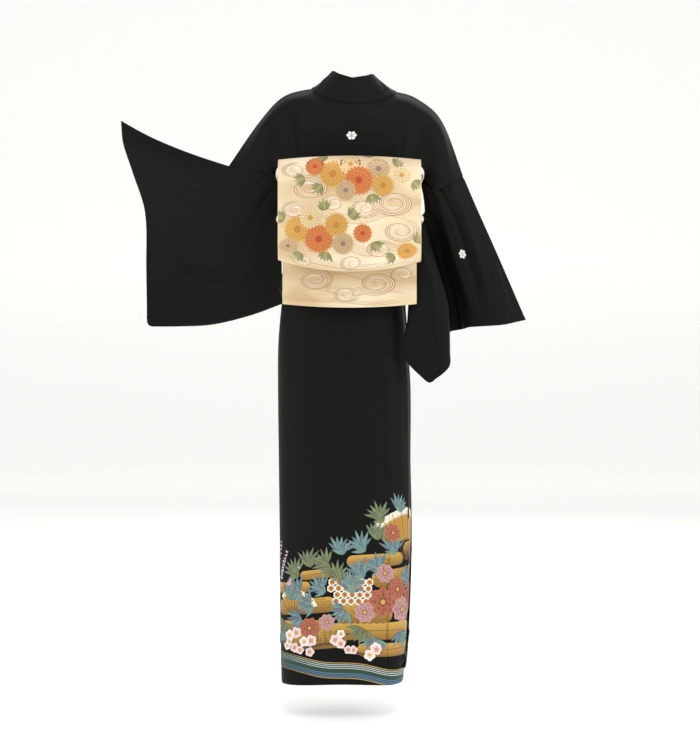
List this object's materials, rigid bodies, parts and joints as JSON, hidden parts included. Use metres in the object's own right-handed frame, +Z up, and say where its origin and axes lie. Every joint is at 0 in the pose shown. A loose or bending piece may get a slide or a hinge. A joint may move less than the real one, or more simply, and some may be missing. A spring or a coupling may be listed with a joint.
{
  "type": "kurotomesode kimono with its obi",
  "caption": "Black formal kimono as worn, an open hollow robe with long sleeves, a collar, a patterned hem and a brocade obi tied behind in a drum knot.",
  "frame": {"origin": "middle of the neck at the height of the shoulder points, where the wearer's shoulders hold the garment up", "axes": "+Z up, +X towards the wearer's right, +Y towards the wearer's front; the back with the drum knot faces -Y"},
  "size_m": [0.942, 0.3543, 1.3718],
  "materials": {
    "silk": "near-black silk crepe, matte with a faint sheen",
    "brocade": "cream satin brocade with gold and coloured wefts",
    "braid": "ribbed white silk braid with gold threads",
    "scarf": "soft white silk with a dull sheen"
  },
  "bodies": {
    "root": {"skirt_back_left": "silk", "skirt_back_right": "silk", "skirt_front_left": "silk", "skirt_front_right": "silk", "okumi_left": "silk", "okumi_right": "silk", "back_left": "silk", "back_right": "silk", "front_left": "silk", "front_right": "silk", "collar": "silk", "okumi_tuck_left": "silk", "sleeve_left": "silk", "sleeve_right": "silk", "obi_wrap": "brocade", "obi_drum": "brocade", "obi_drum_inner": "brocade", "obi_tare": "brocade", "obi_te": "brocade", "obijime": "braid", "obijime_knot": "braid", "obiage": "scarf"}
  },
  "joints": []
}
